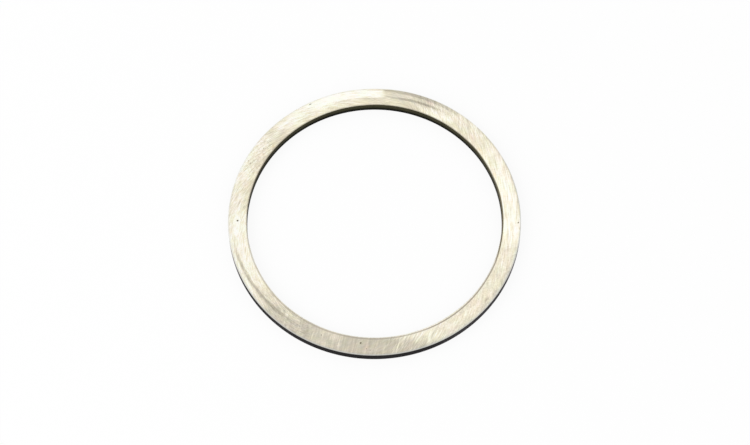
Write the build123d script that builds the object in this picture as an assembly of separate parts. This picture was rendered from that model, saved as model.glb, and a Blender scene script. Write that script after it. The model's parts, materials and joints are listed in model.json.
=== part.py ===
from build123d import *
import os

# Flat shim ring, turned from steel and ground on both faces, in millimetres.
# The lower face lies on Z = 0, the bore's axis is +Z and the origin is on it.

# Driving sizes
bore_diameter = 54.0      # clears the shaft, or the inner ring of the bearing beside it
band_width = 4.0          # radial width of the flat band, from the bore to the rim
thickness = 2.5           # what the shim takes up between the two parts it spaces
rim_edge_radius = 0.3     # rounding of both rim edges, so that the ring enters its housing
bore_edge_radius = 0.15   # finer rounding of both bore edges, left by the deburring

# Sizes that follow from them
bore_radius = bore_diameter / 2
rim_radius = bore_radius + band_width


def band_section():
    """The band's cross-section beside the axis: bore wall on the left, rim on the right."""
    lower_left = (bore_radius, 0)
    with BuildSketch(Plane.XZ) as section:
        with Locations(lower_left):
            Rectangle(band_width, thickness, align=(Align.MIN, Align.MIN))
        bore_corners = section.vertices().group_by(Axis.X)[0]
        fillet(bore_corners, bore_edge_radius)
        rim_corners = section.vertices().group_by(Axis.X)[-1]
        fillet(rim_corners, rim_edge_radius)
    return section.sketch


def shim_ring():
    """The ring in one piece: the section carried once round the bore's axis."""
    return revolve(band_section(), axis=Axis.Z, revolution_arc=360)


os.makedirs("parts", exist_ok=True)
export_step(shim_ring(), "parts/shim_ring.step")
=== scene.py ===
import json
import math
from collections import namedtuple

import bmesh
import bpy
from mathutils import Euler, Matrix, Vector


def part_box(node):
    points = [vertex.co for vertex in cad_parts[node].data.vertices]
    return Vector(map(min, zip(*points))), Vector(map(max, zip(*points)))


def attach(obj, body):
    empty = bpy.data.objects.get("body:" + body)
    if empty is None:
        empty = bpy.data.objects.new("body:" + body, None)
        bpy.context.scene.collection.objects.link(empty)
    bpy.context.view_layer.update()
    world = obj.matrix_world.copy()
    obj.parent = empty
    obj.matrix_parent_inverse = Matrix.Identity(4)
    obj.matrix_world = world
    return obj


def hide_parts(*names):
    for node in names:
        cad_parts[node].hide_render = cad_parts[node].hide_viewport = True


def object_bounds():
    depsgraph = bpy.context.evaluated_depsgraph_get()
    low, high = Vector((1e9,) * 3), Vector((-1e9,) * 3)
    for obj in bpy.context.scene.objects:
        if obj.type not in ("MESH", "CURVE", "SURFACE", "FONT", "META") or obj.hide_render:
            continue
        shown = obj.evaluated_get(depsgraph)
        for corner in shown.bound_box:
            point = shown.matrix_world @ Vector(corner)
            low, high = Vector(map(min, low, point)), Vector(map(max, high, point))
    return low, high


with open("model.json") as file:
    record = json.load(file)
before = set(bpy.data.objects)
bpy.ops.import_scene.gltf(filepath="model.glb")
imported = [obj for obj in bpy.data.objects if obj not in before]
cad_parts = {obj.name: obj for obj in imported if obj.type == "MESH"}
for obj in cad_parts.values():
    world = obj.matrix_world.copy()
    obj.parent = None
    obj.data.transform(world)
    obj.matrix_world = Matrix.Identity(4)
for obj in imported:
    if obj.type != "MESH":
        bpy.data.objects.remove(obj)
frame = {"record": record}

bl_info = {
    "name": "Ground shim ring",
    "version": (1, 0, 0),
    "blender": (4, 5, 0),
    "location": "3D View > Sidebar > Shim Ring",
    "description": "Adds a worn steel shim ring with ground faces and dark walls, and a plain stage for it",
    "category": "Add Mesh",
}

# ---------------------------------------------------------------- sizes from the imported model, in metres

MM = 0.001
NODE = "shim_ring"
CAD_BOX = [list(corner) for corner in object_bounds()]
MOUNTS = {mount["name"]: mount for mount in frame["record"]["mounts"]}

BORE_RADIUS = MOUNTS["bore"]["dims"]["r_mm"] * MM
RIM_RADIUS = MOUNTS["rim"]["dims"]["r_mm"] * MM
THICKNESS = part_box(NODE)[1][2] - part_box(NODE)[0][2]
BORE_EDGE = (THICKNESS - MOUNTS["bore"]["dims"]["length_mm"] * MM) / 2
RIM_EDGE = (THICKNESS - MOUNTS["rim"]["dims"]["length_mm"] * MM) / 2
BAND_MIDDLE = (BORE_RADIUS + RIM_RADIUS) / 2

# ---------------------------------------------------------------- how finely the mesh is divided

FACE_CUTS = 15
WALL_CUTS = 5
MERGE_DISTANCE = 0.001 * MM

# Faces this many pit lengths round a pit are cut finer, and the power shapes the pit's bowl
PIT_SURROUNDS = 1.4
PIT_CUTS = 3
PIT_POWER = 1.5

UV_STRIPS = 4
UV_MARGIN = 0.006

# ---------------------------------------------------------------- marks of use on the upper face, and its painted sheen and shade
# Bearings and directions are degrees from +X towards +Y, and every length is in millimetres.

# A pit is pressed into the face and darkened. Its depth is a share of the pit depth in the settings.
Pit = namedtuple("Pit", "bearing reach length width direction depth")
PITS = (
    Pit(180.3, 28.97, 0.55, 0.43, 10, 1.0),
    Pit(263.8, 28.40, 0.53, 0.43, 70, 1.0),
    Pit(246.9, 28.70, 0.34, 0.20, 80, 0.4),
    Pit(152.8, 30.25, 0.25, 0.20, 40, 0.5),
    Pit(153.3, 29.53, 0.22, 0.18, 70, 0.4),
    Pit(144.8, 28.93, 0.24, 0.20, 20, 0.4),
    Pit(319.3, 28.52, 0.20, 0.16, 60, 0.4),
    Pit(314.4, 28.57, 0.20, 0.16, 10, 0.4),
    Pit(116.6, 30.45, 0.80, 0.20, 28, 0.4),
    Pit(357.8, 30.42, 0.46, 0.28, 55, 0.6),
    Pit(266.4, 29.62, 0.24, 0.20, 130, 0.4),
    Pit(267.9, 29.95, 0.20, 0.16, 40, 0.3),
)

# A streak lightens the face where its amount is over 0, and darkens it where it is under 0.
Streak = namedtuple("Streak", "bearing reach length width direction amount")
STREAKS = (
    Streak(8.5, 30.72, 4.6, 0.40, 98, -0.06),
    Streak(70.0, 30.30, 5.0, 0.50, 160, -0.07),
    Streak(100.9, 28.5, 2.2, 0.28, 8, -0.06),
    Streak(162.8, 30.3, 0.9, 0.40, 20, -0.06),
    Streak(237.3, 29.9, 2.2, 0.36, 66, -0.06),
    Streak(243.7, 29.4, 3.2, 0.40, 71, 0.10),
    Streak(254.9, 29.1, 3.6, 0.40, 73, 0.13),
    Streak(266.1, 29.4, 2.6, 1.00, 80, -0.03),
    Streak(279.3, 29.2, 4.2, 0.44, 73, 0.16),
    Streak(286.3, 29.2, 3.2, 0.36, 72, -0.05),
    Streak(292.3, 29.4, 4.2, 0.60, 78, 0.05),
    Streak(294.3, 29.0, 3.0, 0.40, 74, -0.09),
    Streak(320.9, 29.9, 1.8, 0.80, 50, -0.12),
    Streak(336.2, 30.8, 1.8, 0.26, 30, -0.08),
    Streak(355.4, 30.82, 1.4, 0.34, 85, -0.26),
)

# The tones are painted sheen and painted shade: the face lighter or darker by bearing where its grinding
# marks catch the light or turn it away.
# A tone lightens or darkens the face between two bearings, and fades over the soft degrees beyond each.
# Across the face it grows from nothing at one distance outwards of the band's middle to whole at another,
# or it fills the width where they are None.
Tone = namedtuple("Tone", "start end soft_start soft_end none_at whole_at amount")
PAINTED_SHEEN_AND_SHADE = (
    Tone(-5, 15, 12, 16, None, None, 0.060),
    Tone(2, 22, 6, 8, 0.9, 1.4, -0.045),
    Tone(27, 33, 4, 4, 0.9, 0.3, 0.025),
    Tone(36, 50, 6, 6, None, None, -0.020),
    Tone(46, 53, 4, 4, 0.8, 1.2, 0.035),
    Tone(48, 54, 3, 2, -0.6, -1.2, -0.012),
    Tone(58, 66, 4, 5, -0.3, -0.9, 0.045),
    Tone(58, 77, 13, 9, 0.9, 1.35, -0.120),
    Tone(66, 84, 7, 5, -0.4, 0.3, -0.070),
    Tone(67, 90, 6, 9, 0.5, -0.5, -0.050),
    Tone(68, 74, 3, 4, None, None, -0.016),
    Tone(87, 108, 3, 12, -0.5, 0.3, 0.090),
    Tone(110, 128, 8, 8, -1.6, 0.2, 0.055),
    Tone(129, 137, 4, 4, 0.8, 1.2, -0.032),
    Tone(136, 150, 8, 8, 0.3, -0.8, -0.045),
    Tone(148, 162, 5, 5, None, None, 0.014),
    Tone(148, 163, 4, 6, 1.0, 1.5, 0.045),
    Tone(155, 172, 6, 6, 0.2, -0.8, -0.025),
    Tone(177, 184, 5, 5, -1.0, 0.2, 0.030),
    Tone(180, 206, 8, 14, 1.4, 0.2, 0.050),
    Tone(184, 200, 6, 6, None, None, 0.015),
    Tone(188, 198, 4, 4, 1.0, 1.3, 0.045),
    Tone(201, 217, 4, 5, 0.9, 1.2, 0.045),
    Tone(216, 223, 4, 5, None, None, -0.015),
    Tone(222, 234, 3, 4, 0.0, -0.5, 0.035),
    Tone(222, 252, 8, 8, None, None, 0.030),
    Tone(237, 242, 4, 3, None, None, -0.030),
    Tone(247, 254, 4, 5, 0.0, -0.9, 0.030),
    Tone(303, 345, 8, 8, 0.2, 1.2, -0.040),
    Tone(304, 313, 5, 6, -0.2, -0.8, -0.035),
    Tone(326, 334, 4, 4, 0.8, 1.2, -0.028),
    Tone(326, 344, 8, 8, 0.8, -0.4, -0.025),
)

# A rub darkens the face along part of a circle's line, whose centre needn't be the ring's own. The line
# has this width, and fades over the soft width on both sides of it.
Rub = namedtuple("Rub", "centre radius width soft start end soft_start soft_end amount")
RUBS = (
    Rub((2.75, 3.5), 33.66, 0.26, 0.34, 207, 220, 26, 20, -0.145),
    Rub((2.75, 3.5), 33.62, 0.06, 0.20, 213, 219, 4, 3, -0.070),
    Rub((2.75, 3.5), 33.98, 0.20, 0.24, 197, 218, 7, 5, -0.055),
    Rub((-0.2, -2.75), 31.75, 0.22, 0.28, 66, 77, 11, 8, -0.150),
    Rub((0.0, 0.0), 30.55, 0.10, 0.16, 84, 90, 4, 4, -0.140),
    Rub((0.0, 0.0), 30.72, 0.10, 0.16, 3, 36, 6, 8, -0.060),
    Rub((0.0, 0.0), 30.72, 0.08, 0.14, 88, 112, 4, 8, -0.045),
)

# A stain multiplies the face's colour by its tint.
Stain = namedtuple("Stain", "bearing reach length width direction tint")
STAINS = (
    Stain(66.5, 29.9, 4.6, 1.1, 158, (1.025, 0.97, 0.985)),
    Stain(266.4, 29.3, 3.0, 1.9, 80, (1.02, 0.96, 0.955)),
    Stain(141.1, 27.7, 1.8, 0.9, 50, (1.03, 0.97, 0.86)),
    Stain(35.2, 27.7, 2.4, 0.9, 125, (1.03, 0.96, 0.88)),
    Stain(21.5, 27.6, 2.8, 0.8, 110, (1.03, 0.96, 0.84)),
    Stain(165.0, 28.6, 4.0, 2.2, 60, (1.02, 0.975, 0.985)),
    Stain(147.5, 28.4, 4.4, 1.8, 45, (1.015, 0.98, 0.96)),
    Stain(42.0, 28.4, 3.0, 1.8, 130, (1.02, 0.975, 0.98)),
    Stain(16.0, 28.8, 3.6, 2.0, 105, (0.985, 1.0, 1.05)),
    Stain(61.5, 28.4, 3.0, 1.4, 150, (0.985, 1.005, 1.05)),
    Stain(129.0, 29.3, 3.6, 2.0, 35, (0.985, 1.005, 1.04)),
    Stain(321.0, 29.9, 3.0, 1.4, 50, (1.01, 0.985, 0.95)),
    Stain(317.0, 28.8, 13.0, 3.2, 47, (1.014, 0.992, 0.982)),
)

# Three pairs of tints that the steel wanders between, and two that it takes on beside the bore and the rim
GREENISH = (0.988, 1.006, 0.994)
PINKISH = (1.012, 0.994, 1.0)
YELLOWISH = (1.006, 1.002, 0.965)
BLUISH = (0.994, 0.998, 1.035)
OLIVE = (0.99, 1.006, 0.99)
ROSE = (1.01, 0.992, 1.01)
YELLOWED = (1.0, 0.995, 0.955)
COOLED = (0.970, 1.0, 1.025)

# Strokes lie along circles about a centre, and are about this long and this wide. The seed sets one kind
# apart from another, and detail and roughness say how ragged they are.
Strokes = namedtuple("Strokes", "centre length width seed detail roughness")
LEFT_STROKES = Strokes((-4.7, -7.8), 2.2, 0.18, 3.0, 1.5, 0.5)
RIGHT_STROKES = Strokes((-40.0, -1.0), 2.2, 0.18, 11.0, 1.5, 0.5)
FRONT_STROKES = Strokes((-150.0, 8.0), 2.2, 0.20, 17.0, 1.5, 0.5)
FRONT_BANDS = Strokes((-150.0, 8.0), 7.0, 0.50, 29.0, 1.0, 0.6)
STRAIGHT_STROKES = Strokes((-300.0, 20.0), 2.4, 0.18, 19.0, 1.5, 0.5)
HATCHING = Strokes((-100.0, 60.0), 1.6, 0.18, 37.0, 1.5, 0.5)
CROSSING_STROKES = Strokes((-9.0, 6.0), 1.6, 0.18, 23.0, 1.5, 0.5)
FINE_LEFT_STROKES = Strokes((-4.0, -7.0), 3.0, 0.09, 31.0, 1.0, 0.6)
FINE_RIGHT_STROKES = Strokes((-42.0, 1.0), 3.0, 0.09, 43.0, 1.0, 0.6)
FINE_CROSSING_STROKES = Strokes((60.0, -150.0), 2.5, 0.10, 57.0, 1.0, 0.6)
PINK_STROKES = Strokes((-20.0, -4.0), 3.0, 0.55, 71.0, 2.0, 0.6)
BLUE_STROKES = Strokes((-16.0, 2.0), 2.6, 0.50, 87.0, 2.0, 0.6)

# The face's lightness, how far the strokes and patches move it, and how deep the strokes are cut
USUAL_LIGHTNESS = 0.895
BROAD_CONTRAST = 0.085
FINE_CONTRAST = 0.070
PATCH_CONTRAST = 0.026
MOTTLE_CONTRAST = 0.065
BROAD_CUT = 0.0012
FINE_CUT = 0.0007

# A stretch adds its amount between two bearings, and less and less over the soft degrees beyond each.
Stretch = namedtuple("Stretch", "start end soft_start soft_end amount")
FAINTER_STROKES = (Stretch(300, 342, 10, 8, -0.35),)
MOTTLED = (Stretch(142, 157, 4, 6, 1.0), Stretch(300, 342, 10, 8, 0.55))

# ---------------------------------------------------------------- edges and walls, lengths in millimetres

# How far the rim's rounding takes on the colour of an edge instead of the face's
EDGE_SHARE = 0.6

# The burr is a dark line whose middle lies this far outside the bore's wall. It is whole as far from its
# middle as its core, and gone at its end.
BURR_CORE = 0.05
BURR_END = 0.22
BURR_OFFSET = 0.08
BURR_SHIFTS = (
    Stretch(200, 335, 20, 20, 0.14),
    Stretch(235, 305, 30, 30, 0.16),
    Stretch(-20, 12, 10, 12, 0.08),
    Stretch(298, 334, 12, 10, 0.07),
)
BURR_STRENGTH = 0.40
BURR_STRENGTHS = (
    Stretch(182, 345, 20, 20, 0.20),
    Stretch(262, 285, 10, 15, 0.12),
    Stretch(-60, 12, 14, 10, 0.35),
    Stretch(-8, 34, 8, 14, 0.34),
    Stretch(300, 345, 12, 12, 0.10),
    Stretch(38, 64, 10, 12, 0.25),
    Stretch(128, 172, 12, 6, 0.20),
)

# How far from a ground face the oxide begins, and where it is whole. Where it is raised it comes nearer.
Border = namedtuple("Border", "begins whole")
BORE_BORDER = Border(0.04, 0.14)
RIGHT_BORE_BORDER = Border(0.02, 0.08)
RIM_BORDER = Border(0.55 * RIM_EDGE / MM, 0.95 * RIM_EDGE / MM)
BORDER_WAVES = 0.02
RIM_BORDER_RAISED = (Stretch(306, 336, 8, 10, 0.04),)

# How much lighter the rim's oxide is where it has worn thin, as a share of its own tone
THINNED_OXIDE = (
    Stretch(190, 232, 10, 14, 0.35),
    Stretch(176, 197, 10, 8, 10.0),
    Stretch(308, 345, 20, 14, 1.6),
    Stretch(342, 362, 12, 10, 8.0),
)

# How far turning lines and wear move the walls' tone, how deep the lines are cut, how much closer they lie
# up a wall than across the band, and what share of its colour the bore keeps at its foot in painted shade
TURNED_CONTRAST = 0.30
WORN_CONTRAST = 0.35
TURNED_CUT = 0.004
TURNED_CLOSER = 9.0
BORE_FOOT_SHADE_SHARE = 0.10

# The bare face's roughness, with what strokes and pits add to it, and how rough and shiny the oxide is
BARE_ROUGHNESS = 0.33
BROAD_ROUGHNESS = 0.03
PITTED_ROUGHNESS = 0.12
OXIDE_ROUGHNESS = 0.62
OXIDE_SPECULAR = 0.02

# ---------------------------------------------------------------- the stage's fixed values, in metres

# The floor lies a hair below the ring, and where it is seen this share of it is plain white
FLOOR_GAP = 0.02 * MM
FLOOR_GLOW = 0.90

NEAREST_SEEN = 0.01
FARTHEST_SEEN = 50.0
CAMERA_AIM = Vector((0.11, 0.265, 0)) * MM
SENSOR_WIDTH_MM = 36.0

# ---------------------------------------------------------------- what a user may change


class RingSettings(bpy.types.PropertyGroup):
    """Sizes and colours of the ring's finish."""

    steps_round: bpy.props.IntProperty(
        name="Steps round", description="Faces round the ring's axis", default=720, min=90, max=1440)
    edge_steps: bpy.props.IntProperty(
        name="Edge steps", description="Faces across each edge rounding", default=6, min=2, max=12)
    pit_depth: bpy.props.FloatProperty(
        name="Pit depth", description="How deep the worst pit in the upper face goes",
        default=0.08 * MM, min=0.0, max=0.3 * MM, unit="LENGTH", precision=6)
    # On the face the whitest colour is painted sheen; it also colours the bright rim rounding and the bore's
    # front lip
    polish_and_sheen_steel: bpy.props.FloatVectorProperty(
        name="Polished steel", description="The whitest parts of the face",
        subtype="COLOR", size=3, min=0.0, max=1.0, default=(0.884, 0.876, 0.818))
    bright_steel: bpy.props.FloatVectorProperty(
        name="Bright steel", description="The face where the light catches the grinding marks",
        subtype="COLOR", size=3, min=0.0, max=1.0, default=(0.855, 0.831, 0.702))
    plain_steel: bpy.props.FloatVectorProperty(
        name="Plain steel", description="The face at its usual tone",
        subtype="COLOR", size=3, min=0.0, max=1.0, default=(0.775, 0.718, 0.572))
    # On the dull front this colour is partly painted shade
    dull_and_shaded_steel: bpy.props.FloatVectorProperty(
        name="Dull steel", description="The face where it is dull and greyer",
        subtype="COLOR", size=3, min=0.0, max=1.0, default=(0.546, 0.508, 0.412))
    soiled_steel: bpy.props.FloatVectorProperty(
        name="Soiled steel", description="The bottom of the pits and the darkest marks",
        subtype="COLOR", size=3, min=0.0, max=1.0, default=(0.160, 0.135, 0.090))
    burr_steel: bpy.props.FloatVectorProperty(
        name="Burr steel", description="The thin dark line of burr at the bore's edges",
        subtype="COLOR", size=3, min=0.0, max=1.0, default=(0.34, 0.302, 0.250))
    edge_steel: bpy.props.FloatVectorProperty(
        name="Edge steel", description="The tumbled rounding of the rim's edges",
        subtype="COLOR", size=3, min=0.0, max=1.0, default=(0.60, 0.615, 0.605))
    rim_oxide: bpy.props.FloatVectorProperty(
        name="Rim oxide", description="The blue-black oxide on the rim",
        subtype="COLOR", size=3, min=0.0, max=1.0, default=(0.0165, 0.0150, 0.0160))
    bore_oxide: bpy.props.FloatVectorProperty(
        name="Bore oxide", description="The brown-black oxide in the bore",
        subtype="COLOR", size=3, min=0.0, max=1.0, default=(0.049, 0.0455, 0.0235))


class StageSettings(bpy.types.PropertyGroup):
    """The floor, the camera and the lamps."""

    floor_radius: bpy.props.FloatProperty(
        name="Floor radius", description="Half the width of the floor", default=4.0, min=0.5, unit="LENGTH")
    floor_colour: bpy.props.FloatVectorProperty(
        name="Floor colour", description="The floor's own colour",
        subtype="COLOR", size=3, min=0.0, max=1.0, default=(0.95, 0.95, 0.95))
    camera_distance: bpy.props.FloatProperty(
        name="Camera distance", description="From the ring's centre to the camera",
        default=0.584, min=0.1, unit="LENGTH")
    camera_height: bpy.props.FloatProperty(
        name="Camera height", description="The camera's angle above the floor",
        default=math.radians(65.70), min=0.0, max=math.radians(90), subtype="ANGLE")
    camera_roll: bpy.props.FloatProperty(
        name="Camera roll", description="The camera's turn about its own axis",
        default=math.radians(-0.475), subtype="ANGLE")
    camera_lens: bpy.props.FloatProperty(
        name="Lens", description="Focal length in millimetres on a 36 mm wide sensor",
        default=131.93, min=10.0)
    sky_light: bpy.props.FloatProperty(
        name="Sky light", description="Strength of the even light from all round", default=0.80, min=0.0)
    key_power: bpy.props.FloatProperty(
        name="Key power", description="Power of the large soft lamp on the left", default=1.6, min=0.0,
        subtype="POWER")
    sheen_power: bpy.props.FloatProperty(
        name="Sheen power", description="Power of the lamp whose reflection the upper face shows",
        default=0.06, min=0.0, subtype="POWER")


# ---------------------------------------------------------------- the ring's mesh


def band_section(bm, settings):
    """The band's cross-section beside the axis, with rounded corners, as a closed chain of edges."""
    lower_bore = bm.verts.new((BORE_RADIUS, 0, 0))
    lower_rim = bm.verts.new((RIM_RADIUS, 0, 0))
    upper_rim = bm.verts.new((RIM_RADIUS, 0, THICKNESS))
    upper_bore = bm.verts.new((BORE_RADIUS, 0, THICKNESS))
    bm.faces.new((lower_bore, lower_rim, upper_rim, upper_bore))
    for corners, radius in (((lower_bore, upper_bore), BORE_EDGE), ((lower_rim, upper_rim), RIM_EDGE)):
        bmesh.ops.bevel(
            bm, geom=list(corners), offset=radius, offset_type="OFFSET", segments=settings.edge_steps,
            profile=0.5, affect="VERTICES", material=-1)
    bmesh.ops.delete(bm, geom=bm.faces[:], context="FACES_ONLY")
    flats = [edge for edge in bm.edges if edge.calc_length() > THICKNESS]
    walls = [edge for edge in bm.edges if RIM_EDGE * 2 < edge.calc_length() <= THICKNESS]
    bmesh.ops.subdivide_edges(bm, edges=flats, cuts=FACE_CUTS)
    bmesh.ops.subdivide_edges(bm, edges=walls, cuts=WALL_CUTS)


def measure_girth(bm):
    """Writes on each vertex how far round the section it is from the lower bore edge. Returns the total."""
    girth = bm.verts.layers.float.new("girth")
    vert = min(bm.verts, key=lambda v: (v.co.z, v.co.x))
    edge = max(vert.link_edges, key=lambda e: e.other_vert(vert).co.x)
    travelled = 0.0
    for _ in range(len(bm.verts)):
        vert[girth] = travelled
        travelled += edge.calc_length()
        vert = edge.other_vert(vert)
        edge = next(e for e in vert.link_edges if e is not edge)
    return travelled


def lay_out_skin(bm, whole_girth):
    """UVs: the skin unrolled in strips one above the other, each an equal part of the way round."""
    girth = bm.verts.layers.float["girth"]
    sheet = bm.loops.layers.uv.new("OFBake")
    strip_turn = math.tau / UV_STRIPS
    for face in bm.faces:
        middle = face.calc_center_median()
        strip = int(math.atan2(middle.y, middle.x) % math.tau / strip_turn)
        # Where the section's end meets its start, the start counts as the end
        closes = max(corner.vert[girth] for corner in face.loops) > whole_girth * 0.75
        for corner in face.loops:
            x, y, _ = corner.vert.co
            turn = (math.atan2(y, x) - strip * strip_turn + math.pi) % math.tau - math.pi
            around = corner.vert[girth] / whole_girth
            if closes and around < 0.25:
                around = 1.0
            u = UV_MARGIN + (1 - 2 * UV_MARGIN) * turn / strip_turn
            v = (strip + around) / UV_STRIPS + UV_MARGIN * (1 - 2 * around)
            corner[sheet].uv = (u, v)


def place_of(mark):
    """The point in the plane of the ring, in metres, at a mark's bearing and reach."""
    turn = math.radians(mark.bearing)
    return Vector((math.cos(turn), math.sin(turn), 0)) * mark.reach * MM


def sink_pits(bm, depth):
    """Divides the upper face more finely round each pit, and presses the pit in."""
    for pit in PITS:
        place = place_of(pit) + Vector((0, 0, THICKNESS))
        surrounds = pit.length * PIT_SURROUNDS * MM
        near = [face for face in bm.faces if (face.calc_center_median() - place).length < surrounds]
        edges = list({edge for face in near for edge in face.edges})
        bmesh.ops.subdivide_edges(bm, edges=edges, cuts=PIT_CUTS, use_grid_fill=True)
        straighten = Matrix.Rotation(math.radians(-pit.direction), 3, "Z")
        for vert in bm.verts:
            away = vert.co - place
            if away.length < pit.length * MM:
                along, across, _ = straighten @ away
                spread = math.hypot(along / pit.length, across / pit.width) * 2 / MM
                vert.co.z -= depth * pit.depth * max(0.0, 1 - spread ** 2) ** PIT_POWER


def ring_mesh(settings):
    """The whole ring: its section spun once round the axis, closed, with faces outwards."""
    bm = bmesh.new()
    band_section(bm, settings)
    whole_girth = measure_girth(bm)
    bmesh.ops.spin(
        bm, geom=bm.verts[:] + bm.edges[:], cent=(0, 0, 0), axis=(0, 0, 1), dvec=(0, 0, 0),
        angle=math.tau, steps=settings.steps_round, use_merge=True, use_duplicate=False)
    bmesh.ops.remove_doubles(bm, verts=bm.verts[:], dist=MERGE_DISTANCE)
    bmesh.ops.recalc_face_normals(bm, faces=bm.faces[:])
    lay_out_skin(bm, whole_girth)
    sink_pits(bm, settings.pit_depth)
    mesh = bpy.data.meshes.new("ground_ring")
    bm.to_mesh(mesh)
    bm.free()
    mesh.shade_smooth()
    return mesh


# ---------------------------------------------------------------- shader helpers


class Finish:
    """Builds one material from named masks and tones. Lengths in it are millimetres."""

    def __init__(self, name):
        self.material = bpy.data.materials.new(name)
        self.material.use_nodes = True
        self.tree = self.material.node_tree
        self.tree.nodes.clear()
        place = self.tree.nodes.new("ShaderNodeTexCoord").outputs["Object"]
        self.place = self.vector("SCALE", place, scale=1 / MM)
        x, y, self.height = self.parts(self.place)
        self.flat = self.join(x, y, 0.0)
        self.reach = self.vector("LENGTH", self.flat)

    def feed(self, socket, value):
        """Links a node's output to a socket, or writes a plain value on it."""
        if isinstance(value, bpy.types.NodeSocket):
            self.tree.links.new(value, socket)
        elif value is not None:
            socket.default_value = value

    def math(self, operation, a, b=None):
        """One step of arithmetic on one or two numbers."""
        node = self.tree.nodes.new("ShaderNodeMath")
        node.operation = operation
        self.feed(node.inputs[0], a)
        self.feed(node.inputs[1], b)
        return node.outputs[0]

    def add(self, *terms):
        """The sum of all these numbers."""
        total = terms[0]
        for term in terms[1:]:
            total = self.math("ADD", total, term)
        return total

    def total(self, start, terms):
        """A start with terms added one by one as they are made."""
        for term in terms:
            start = self.math("ADD", start, term)
        return start

    def times(self, *factors):
        """The product of all these numbers."""
        product = factors[0]
        for factor in factors[1:]:
            product = self.math("MULTIPLY", product, factor)
        return product

    def vector(self, operation, a, b=None, scale=None):
        """One step of vector arithmetic. A length or a dot product gives a number."""
        node = self.tree.nodes.new("ShaderNodeVectorMath")
        node.operation = operation
        self.feed(node.inputs[0], a)
        self.feed(node.inputs[1], b)
        if scale is not None:
            self.feed(node.inputs["Scale"], scale)
        return node.outputs["Value" if operation in ("LENGTH", "DOT_PRODUCT") else "Vector"]

    def parts(self, vector):
        """A vector's X, Y and Z."""
        node = self.tree.nodes.new("ShaderNodeSeparateXYZ")
        self.feed(node.inputs[0], vector)
        return node.outputs[0], node.outputs[1], node.outputs[2]

    def join(self, x, y, z):
        """The vector with this X, Y and Z."""
        node = self.tree.nodes.new("ShaderNodeCombineXYZ")
        for socket, value in zip(node.inputs, (x, y, z)):
            self.feed(socket, value)
        return node.outputs[0]

    def ramp(self, value, low, high):
        """A smooth step from 0 to 1 as value goes from low to high. low may be the larger one."""
        node = self.tree.nodes.new("ShaderNodeMapRange")
        node.interpolation_type = "SMOOTHSTEP"
        given = {"Value": value, "From Min": low, "From Max": high}
        for name, setting in given.items():
            self.feed(node.inputs[name], setting)
        return node.outputs["Result"]

    def bearing_from(self, degrees):
        """Degrees round the axis from this bearing, -180 to 180."""
        turn = math.radians(degrees)
        ahead = self.vector("DOT_PRODUCT", self.flat, (math.cos(turn), math.sin(turn), 0))
        aside = self.vector("DOT_PRODUCT", self.flat, (-math.sin(turn), math.cos(turn), 0))
        return self.math("DEGREES", self.math("ARCTAN2", aside, ahead))

    def stretch(self, start, end, soft_start, soft_end):
        """1 from one bearing round to another, falling to 0 over the soft degrees beyond each."""
        half = (end - start) / 2
        turn = self.bearing_from(start + half)
        rising = self.ramp(turn, -half - soft_start, -half)
        falling = self.ramp(turn, half + soft_end, half)
        return self.times(rising, falling)

    def along(self, row):
        """The stretch that a row of one of the tables stands for."""
        return self.stretch(row.start, row.end, row.soft_start, row.soft_end)

    def vary(self, usual, stretches):
        """The usual number, changed by the amount of each stretch."""
        return self.total(usual, (self.times(each.amount, self.along(each)) for each in stretches))

    def noise(self, vector, scale, detail, roughness=0.5):
        """Plain noise, about -1 to 1. The node's own lies mostly between 0.25 and 0.75."""
        node = self.tree.nodes.new("ShaderNodeTexNoise")
        node.noise_dimensions = "3D"
        given = {"Vector": vector, "Scale": scale, "Detail": detail, "Roughness": roughness}
        for name, setting in given.items():
            self.feed(node.inputs[name], setting)
        return self.times(self.math("SUBTRACT", node.outputs[0], 0.5), 4.0)

    def strokes(self, kind):
        """Noise drawn out along circles about a centre, in strokes of this kind."""
        away = self.vector("SUBTRACT", self.flat, (*kind.centre, 0))
        reach = self.vector("LENGTH", away)
        usual_reach = math.hypot(*kind.centre) + BAND_MIDDLE / MM
        around = self.vector("SCALE", self.vector("NORMALIZE", away), scale=usual_reach / kind.length)
        x, y, _ = self.parts(around)
        across = self.add(self.math("DIVIDE", reach, kind.width), kind.seed)
        return self.noise(self.join(x, y, across), 1.0, kind.detail, kind.roughness)

    def arc(self, centre, radius, width, soft):
        """1 on a circle's line of this width, falling to 0 over the soft width beside it."""
        reach = self.vector("LENGTH", self.vector("SUBTRACT", self.flat, (*centre, 0)))
        off = self.math("ABSOLUTE", self.math("SUBTRACT", reach, radius))
        return self.ramp(off, width / 2 + soft, width / 2)

    def spot(self, mark, growth=1.0, core=0.0):
        """1 at a mark's centre, falling to 0 at its outline. core is how much of it stays at 1."""
        node = self.tree.nodes.new("ShaderNodeMapping")
        node.vector_type = "TEXTURE"
        self.feed(node.inputs["Vector"], self.flat)
        node.inputs["Location"].default_value = place_of(mark) / MM
        node.inputs["Rotation"].default_value = (0, 0, math.radians(mark.direction))
        node.inputs["Scale"].default_value = (mark.length * growth / 2, mark.width * growth / 2, 1)
        return self.ramp(self.vector("LENGTH", node.outputs[0]), 1.0, core)

    def mix(self, factor, a, b, kind="MIX"):
        """The colour a where factor is 0, and where it is 1 the colour b, or what this kind of mix gives."""
        node = self.tree.nodes.new("ShaderNodeMix")
        node.data_type = "RGBA"
        node.blend_type = kind
        self.feed(node.inputs["Factor"], factor)
        for socket, value in ((node.inputs[6], a), (node.inputs[7], b)):
            self.feed(socket, value if isinstance(value, bpy.types.NodeSocket) else (*value, 1))
        return node.outputs[2]

    def tint(self, colour, by, share=1.0):
        """A colour multiplied by another, as far as the share says."""
        return self.mix(share, colour, by, "MULTIPLY")

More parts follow.
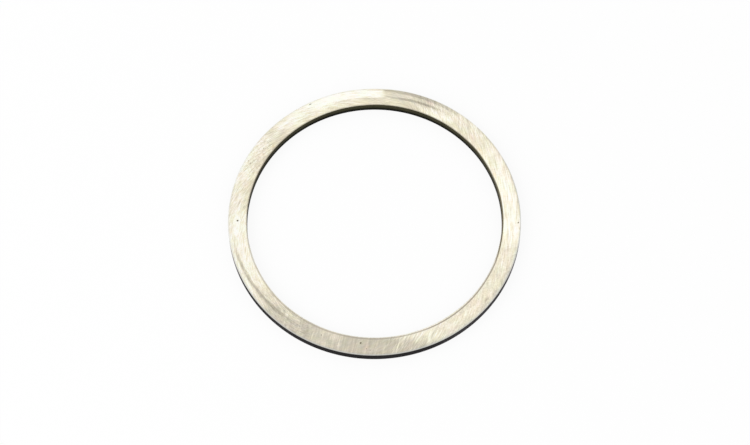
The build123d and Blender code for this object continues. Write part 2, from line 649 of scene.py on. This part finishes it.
    def blend(self, factor, a, b):
        """The number a where factor is 0, and b where it is 1."""
        node = self.tree.nodes.new("ShaderNodeMix")
        node.data_type = "FLOAT"
        for socket, value in ((node.inputs[0], factor), (node.inputs[2], a), (node.inputs[3], b)):
            self.feed(socket, value)
        return node.outputs[0]

    def colours(self, value, stops):
        """A colour from stops of (value, colour)."""
        node = self.tree.nodes.new("ShaderNodeValToRGB")
        self.feed(node.inputs[0], value)
        elements = node.color_ramp.elements
        while len(elements) < len(stops):
            elements.new(0.5)
        for element, (position, colour) in zip(elements, stops):
            element.position = position
            element.color = (*colour, 1)
        return node.outputs[0]


# ---------------------------------------------------------------- the ring's finish


def grinding_marks(f):
    """Broad and fine strokes: one kind on the left, one on the right, and others in places or across."""
    left = f.stretch(85, 236, 20, 10)
    right = f.stretch(-78, 62, 14, 24)
    front = f.stretch(232, 288, 12, 12)
    straight = f.stretch(46, 68, 10, 8)
    hatched = f.stretch(103, 120, 6, 8)
    crossed = f.ramp(f.noise(f.flat, scale=0.22, detail=1.0), -0.5, 0.6)
    broad = f.add(
        f.times(left, f.strokes(LEFT_STROKES)),
        f.times(right, f.vary(1.0, FAINTER_STROKES), f.strokes(RIGHT_STROKES)),
        f.times(front, 0.5, f.strokes(FRONT_STROKES)),
        f.times(front, 0.6, f.strokes(FRONT_BANDS)),
        f.times(straight, f.strokes(STRAIGHT_STROKES)),
        f.times(hatched, 0.5, f.strokes(HATCHING)),
        f.times(crossed, 0.5, f.strokes(CROSSING_STROKES)))
    fine = f.add(
        f.times(left, f.strokes(FINE_LEFT_STROKES)),
        f.times(right, f.strokes(FINE_RIGHT_STROKES)),
        f.times(0.5, f.strokes(FINE_CROSSING_STROKES)))
    return broad, fine


def painted_light_change(f, tone, outwards):
    """What one tone of painted sheen and shade adds to the face's lightness."""
    change = f.times(tone.amount, f.along(tone))
    if tone.whole_at is None:
        return change
    return f.times(change, f.ramp(outwards, tone.none_at, tone.whole_at))


def rub_change(f, rub):
    """What one rubbed line adds to the face's lightness."""
    line = f.arc(rub.centre, rub.radius, rub.width, rub.soft)
    return f.times(rub.amount, line, f.along(rub))


def dull_and_shaded_front(f, outwards):
    """What the front adds to the face's lightness: the face is duller there, and darker still as painted
    shade where its grinding marks turn the light away. On the right it ends at a slanting line.
    """
    slant = -5.0
    past = f.add(f.bearing_from(250), f.times(slant, outwards))
    return f.times(-0.145, f.stretch(228, 300, 16, 12), f.ramp(past, 44, 28))


def face_lightness(f, outwards, broad, fine):
    """How light the ground face is, where 0.9 is its usual tone and 0.77 is dull. It holds painted sheen and
    painted shade as well as wear and grain.
    """
    # worn starts as the tones' painted sheen and shade, then takes on the rubs, the streaks, and the front's
    # dullness and painted shade
    worn = f.total(USUAL_LIGHTNESS, (painted_light_change(f, tone, outwards) for tone in PAINTED_SHEEN_AND_SHADE))
    worn = f.total(worn, (rub_change(f, rub) for rub in RUBS))
    worn = f.total(worn, (f.times(streak.amount, f.spot(streak)) for streak in STREAKS))
    worn = f.add(worn, dull_and_shaded_front(f, outwards))
    patches = f.times(PATCH_CONTRAST, f.noise(f.place, scale=0.45, detail=3.0, roughness=0.6))
    mottle = f.times(MOTTLE_CONTRAST, f.vary(0.0, MOTTLED), f.noise(f.place, scale=2.6, detail=1.0))
    return f.add(worn, patches, mottle, f.times(BROAD_CONTRAST, broad), f.times(FINE_CONTRAST, fine))


def face_colour(f, outwards, lightness, pitted, settings):
    """Warm bare steel, a little pinker, greener and bluer from stroke to stroke."""
    # The stops above plain steel are painted sheen; those below it are partly painted shade and partly dull,
    # worn and soiled steel
    steel = f.colours(lightness, (
        (0.43, settings.soiled_steel),
        (0.765, settings.dull_and_shaded_steel),
        (0.89, settings.plain_steel),
        (0.95, settings.bright_steel),
        (0.985, settings.polish_and_sheen_steel)))
    pink = f.ramp(f.strokes(PINK_STROKES), -0.7, 0.7)
    blue = f.ramp(f.strokes(BLUE_STROKES), -0.7, 0.7)
    rose = f.ramp(f.noise(f.flat, scale=0.35, detail=1.0), -0.6, 0.6)
    for share, low, high in ((pink, GREENISH, PINKISH), (blue, YELLOWISH, BLUISH), (rose, OLIVE, ROSE)):
        steel = f.tint(steel, f.mix(share, low, high))
    beside_bore = f.ramp(f.reach, BAND_MIDDLE / MM - 0.3, BORE_RADIUS / MM + 0.6)
    steel = f.tint(steel, YELLOWED, f.times(beside_bore, f.stretch(-20, 215, 15, 15)))
    beside_rim = f.ramp(outwards, 1.15, 1.6)
    steel = f.tint(steel, COOLED, f.times(beside_rim, f.stretch(288, 342, 10, 8)))
    for stain in STAINS:
        steel = f.tint(steel, stain.tint, f.spot(stain))
    return f.mix(pitted, steel, settings.soiled_steel)


def burr_line(f):
    """The thin dark line at the bore's edge: further out on the front, and strongest on the right."""
    middle = f.vary(BORE_RADIUS / MM + BURR_OFFSET, BURR_SHIFTS)
    off = f.math("ABSOLUTE", f.math("SUBTRACT", f.reach, middle))
    return f.times(f.ramp(off, BURR_END, BURR_CORE), f.vary(BURR_STRENGTH, BURR_STRENGTHS))


def bare_colour(f, face, settings):
    """The ground face and what borders it: the rim's bright rounding, a bright front lip, and the burr."""
    rounding = f.ramp(f.reach, (RIM_RADIUS - 0.9 * RIM_EDGE) / MM, (RIM_RADIUS - 0.45 * RIM_EDGE) / MM)
    edge = f.mix(f.stretch(34, 190, 12, 15), settings.edge_steel, settings.polish_and_sheen_steel)
    bare = f.mix(f.times(EDGE_SHARE, rounding), face, edge)
    lip = f.ramp(f.reach, (BORE_RADIUS + BORE_EDGE) / MM, (BORE_RADIUS + 0.6 * BORE_EDGE) / MM)
    bare = f.mix(f.times(lip, f.stretch(225, 335, 20, 10)), bare, settings.polish_and_sheen_steel)
    burr = f.mix(f.stretch(-14, 34, 10, 14), settings.burr_steel, settings.soiled_steel)
    return f.mix(burr_line(f), bare, burr)


def oxide_share(f, outer):
    """0 on bare steel and 1 on the walls. The border lies in each edge's rounding and waves a little."""
    from_face = f.math("MINIMUM", f.height, f.math("SUBTRACT", THICKNESS / MM, f.height))
    waves = f.times(BORDER_WAVES, f.noise(f.place, scale=2.0, detail=3.0, roughness=0.6))
    depth = f.add(from_face, waves, f.times(outer, f.vary(0.0, RIM_BORDER_RAISED)))
    right = f.stretch(-5, 85, 8, 10)
    begins = f.blend(right, BORE_BORDER.begins, RIGHT_BORE_BORDER.begins)
    whole = f.blend(right, BORE_BORDER.whole, RIGHT_BORE_BORDER.whole)
    return f.ramp(depth, f.blend(outer, begins, RIM_BORDER.begins), f.blend(outer, whole, RIM_BORDER.whole))


def wall_colour(f, outer, turned, settings):
    """Dark oxide with fine turning lines, worn thinner in places. The bore's is darkest at its foot, in
    painted shade.
    """
    worn = f.noise(f.place, scale=0.5, detail=4.0, roughness=0.62)
    thinned = f.times(outer, f.vary(0.0, THINNED_OXIDE))
    tone = f.add(1.0, thinned, f.times(TURNED_CONTRAST, turned), f.times(WORN_CONTRAST, worn))
    # Painted shade: the bore's oxide darkens towards its foot
    bore_foot_shade = f.ramp(f.height, 0.66 * THICKNESS / MM, 0.27 * THICKNESS / MM)
    darkest = tuple(BORE_FOOT_SHADE_SHARE * part for part in settings.bore_oxide)
    wall = f.mix(outer, f.mix(bore_foot_shade, settings.bore_oxide, darkest), settings.rim_oxide)
    return f.tint(wall, f.join(tone, tone, tone))


def ring_finish(settings):
    """Ground faces with strokes, wear and painted sheen and shade, tumbled rim edges, and dark oxide on both
    walls, with painted shade at the bore's foot.

    The renderer keeps only so many values at once and shows a shader that needs more as plain black. This
    one comes close, so a change to it, even of its statements' order, may turn it black.
    """
    f = Finish("ground_and_oxidised_steel")
    upper = f.ramp(f.height, THICKNESS / MM * 0.45, THICKNESS / MM * 0.55)
    outwards = f.math("SUBTRACT", f.reach, BAND_MIDDLE / MM)
    outer = f.ramp(outwards, -0.1, 0.1)
    broad, fine = grinding_marks(f)
    lightness = face_lightness(f, outwards, broad, fine)
    pits = f.total(0.0, (f.spot(pit, growth=1.15, core=0.3) for pit in PITS))
    pitted = f.times(upper, f.math("MINIMUM", 1.0, pits))
    bare = bare_colour(f, face_colour(f, outwards, lightness, pitted, settings), settings)
    up_wall = f.times(TURNED_CLOSER, f.height)
    turned = f.noise(f.join(f.reach, 0.0, up_wall), scale=1.0, detail=2.0, roughness=0.6)
    wall = wall_colour(f, outer, turned, settings)
    oxide = oxide_share(f, outer)

    bare_roughness = f.add(
        BARE_ROUGHNESS, f.times(BROAD_ROUGHNESS, broad), f.times(PITTED_ROUGHNESS, pitted))
    relief = f.add(
        f.times(BROAD_CUT, broad), f.times(FINE_CUT, fine), f.times(TURNED_CUT, oxide, turned))
    bump = f.tree.nodes.new("ShaderNodeBump")
    bump.inputs["Strength"].default_value = 1.0
    bump.inputs["Distance"].default_value = MM
    f.feed(bump.inputs["Height"], relief)

    shader = f.tree.nodes.new("ShaderNodeBsdfPrincipled")
    shader.inputs["Specular IOR Level"].default_value = OXIDE_SPECULAR
    f.feed(shader.inputs["Base Color"], f.mix(oxide, bare, wall))
    f.feed(shader.inputs["Metallic"], f.math("SUBTRACT", 1.0, oxide))
    f.feed(shader.inputs["Roughness"], f.blend(oxide, bare_roughness, OXIDE_ROUGHNESS))
    f.feed(shader.inputs["Normal"], bump.outputs[0])
    output = f.tree.nodes.new("ShaderNodeOutputMaterial")
    f.tree.links.new(shader.outputs[0], output.inputs["Surface"])
    return f.material


# ---------------------------------------------------------------- the stage


def seen_share(tree):
    """1 for rays from the camera, mirrors and glass, and 0 for the light that falls on things."""
    path = tree.nodes.new("ShaderNodeLightPath")
    total = path.outputs["Is Camera Ray"]
    for name in ("Is Glossy Ray", "Is Transmission Ray"):
        node = tree.nodes.new("ShaderNodeMath")
        node.operation = "MAXIMUM"
        tree.links.new(total, node.inputs[0])
        tree.links.new(path.outputs[name], node.inputs[1])
        total = node.outputs[0]
    return total


def floor_finish(settings):
    """Matt white, lifted nearly to plain white where it is seen, so that shadows on it stay faint."""
    material = bpy.data.materials.new("pale_floor")
    material.use_nodes = True
    tree = material.node_tree
    tree.nodes.clear()
    matt = tree.nodes.new("ShaderNodeBsdfDiffuse")
    matt.inputs["Color"].default_value = (*settings.floor_colour, 1)
    white = tree.nodes.new("ShaderNodeEmission")
    share = tree.nodes.new("ShaderNodeMath")
    share.operation = "MULTIPLY"
    share.inputs[1].default_value = FLOOR_GLOW
    tree.links.new(seen_share(tree), share.inputs[0])
    mixed = tree.nodes.new("ShaderNodeMixShader")
    tree.links.new(share.outputs[0], mixed.inputs[0])
    tree.links.new(matt.outputs[0], mixed.inputs[1])
    tree.links.new(white.outputs[0], mixed.inputs[2])
    output = tree.nodes.new("ShaderNodeOutputMaterial")
    tree.links.new(mixed.outputs[0], output.inputs["Surface"])
    return material


def add_floor(settings):
    """A flat floor just under the ring."""
    bm = bmesh.new()
    bmesh.ops.create_grid(bm, x_segments=1, y_segments=1, size=settings.floor_radius)
    bmesh.ops.translate(bm, verts=bm.verts[:], vec=(0, 0, CAD_BOX[0][2] - FLOOR_GAP))
    mesh = bpy.data.meshes.new("floor")
    bm.to_mesh(mesh)
    bm.free()
    mesh.materials.append(floor_finish(settings))
    floor = bpy.data.objects.new("floor", mesh)
    bpy.context.scene.collection.objects.link(floor)


def set_world(settings):
    """White where it is seen, and a soft even light where it isn't."""
    world = bpy.data.worlds.new("studio")
    bpy.context.scene.world = world
    world.use_nodes = True
    tree = world.node_tree
    background = tree.nodes["Background"]
    strength = tree.nodes.new("ShaderNodeMapRange")
    tree.links.new(seen_share(tree), strength.inputs["Value"])
    strength.inputs["To Min"].default_value = settings.sky_light
    strength.inputs["To Max"].default_value = 1.0
    background.inputs["Color"].default_value = (1, 1, 1, 1)
    tree.links.new(strength.outputs["Result"], background.inputs["Strength"])


def add_lamp(name, bearing, height, distance, width, power):
    """A square soft lamp that faces the ring from this bearing and height in degrees."""
    data = bpy.data.lights.new(name, "AREA")
    data.shape = "SQUARE"
    data.size = width
    data.energy = power
    turn = math.radians(bearing)
    rise = math.radians(height)
    way = Vector((math.cos(turn) * math.cos(rise), math.sin(turn) * math.cos(rise), math.sin(rise)))
    lamp = bpy.data.objects.new(name, data)
    lamp.location = way * distance
    lamp.rotation_euler = way.to_track_quat("Z", "Y").to_euler()
    bpy.context.scene.collection.objects.link(lamp)
    return lamp


def add_camera(settings):
    """A camera in front of the ring and above it, aimed close beside its centre."""
    data = bpy.data.cameras.new("camera")
    data.lens = settings.camera_lens
    data.sensor_width = SENSOR_WIDTH_MM
    data.clip_start = NEAREST_SEEN
    data.clip_end = FARTHEST_SEEN
    height = settings.camera_height
    back = Vector((0, -math.cos(height), math.sin(height)))
    turn = Euler((math.pi / 2 - height, 0, 0)).to_matrix() @ Matrix.Rotation(settings.camera_roll, 3, "Z")
    camera = bpy.data.objects.new("camera", data)
    place = CAMERA_AIM + back * settings.camera_distance
    camera.matrix_world = Matrix.Translation(place) @ turn.to_4x4()
    bpy.context.scene.collection.objects.link(camera)
    bpy.context.scene.camera = camera


# ---------------------------------------------------------------- operators, panel, run


class MESH_OT_shim_ring(bpy.types.Operator):
    """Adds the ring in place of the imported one"""

    bl_idname = "mesh.shim_ring"
    bl_label = "Add Shim Ring"

    def execute(self, context):
        settings = context.scene.shim_ring
        mesh = ring_mesh(settings)
        mesh.materials.append(ring_finish(settings))
        ring = bpy.data.objects.new("ground_ring", mesh)
        context.scene.collection.objects.link(ring)
        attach(ring, "root")
        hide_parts(NODE)
        return {"FINISHED"}


class SCENE_OT_shim_ring_stage(bpy.types.Operator):
    """Adds the floor, the lamps, the white world and the camera"""

    bl_idname = "scene.shim_ring_stage"
    bl_label = "Add Stage"

    def execute(self, context):
        settings = context.scene.shim_ring_stage
        add_floor(settings)
        set_world(settings)
        key = add_lamp(
            "key_lamp", bearing=205, height=42, distance=0.7, width=0.6, power=settings.key_power)
        key.visible_glossy = False
        add_lamp(
            "sheen_lamp", bearing=78, height=66, distance=0.6, width=0.24, power=settings.sheen_power)
        add_camera(settings)
        context.scene.view_settings.view_transform = "Standard"
        return {"FINISHED"}


class VIEW3D_PT_shim_ring(bpy.types.Panel):
    """Lists the ring and its stage"""

    bl_idname = "VIEW3D_PT_shim_ring"
    bl_label = "Shim Ring"
    bl_space_type = "VIEW_3D"
    bl_region_type = "UI"
    bl_category = "Shim Ring"

    def draw(self, context):
        for settings, operator in (
                (context.scene.shim_ring, MESH_OT_shim_ring),
                (context.scene.shim_ring_stage, SCENE_OT_shim_ring_stage)):
            column = self.layout.column()
            for name in settings.__annotations__:
                column.prop(settings, name)
            column.operator(operator.bl_idname)


CLASSES = (RingSettings, StageSettings, MESH_OT_shim_ring, SCENE_OT_shim_ring_stage, VIEW3D_PT_shim_ring)


def register():
    """Adds the classes, and their settings to the scene."""
    for cls in CLASSES:
        bpy.utils.register_class(cls)
    bpy.types.Scene.shim_ring = bpy.props.PointerProperty(type=RingSettings)
    bpy.types.Scene.shim_ring_stage = bpy.props.PointerProperty(type=StageSettings)


def unregister():
    """Takes the settings and the classes away again."""
    del bpy.types.Scene.shim_ring_stage
    del bpy.types.Scene.shim_ring
    for cls in reversed(CLASSES):
        bpy.utils.unregister_class(cls)


def main():
    """Registers the classes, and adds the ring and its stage."""
    register()
    bpy.ops.mesh.shim_ring()
    bpy.ops.scene.shim_ring_stage()


if __name__ == "__main__":
    main()
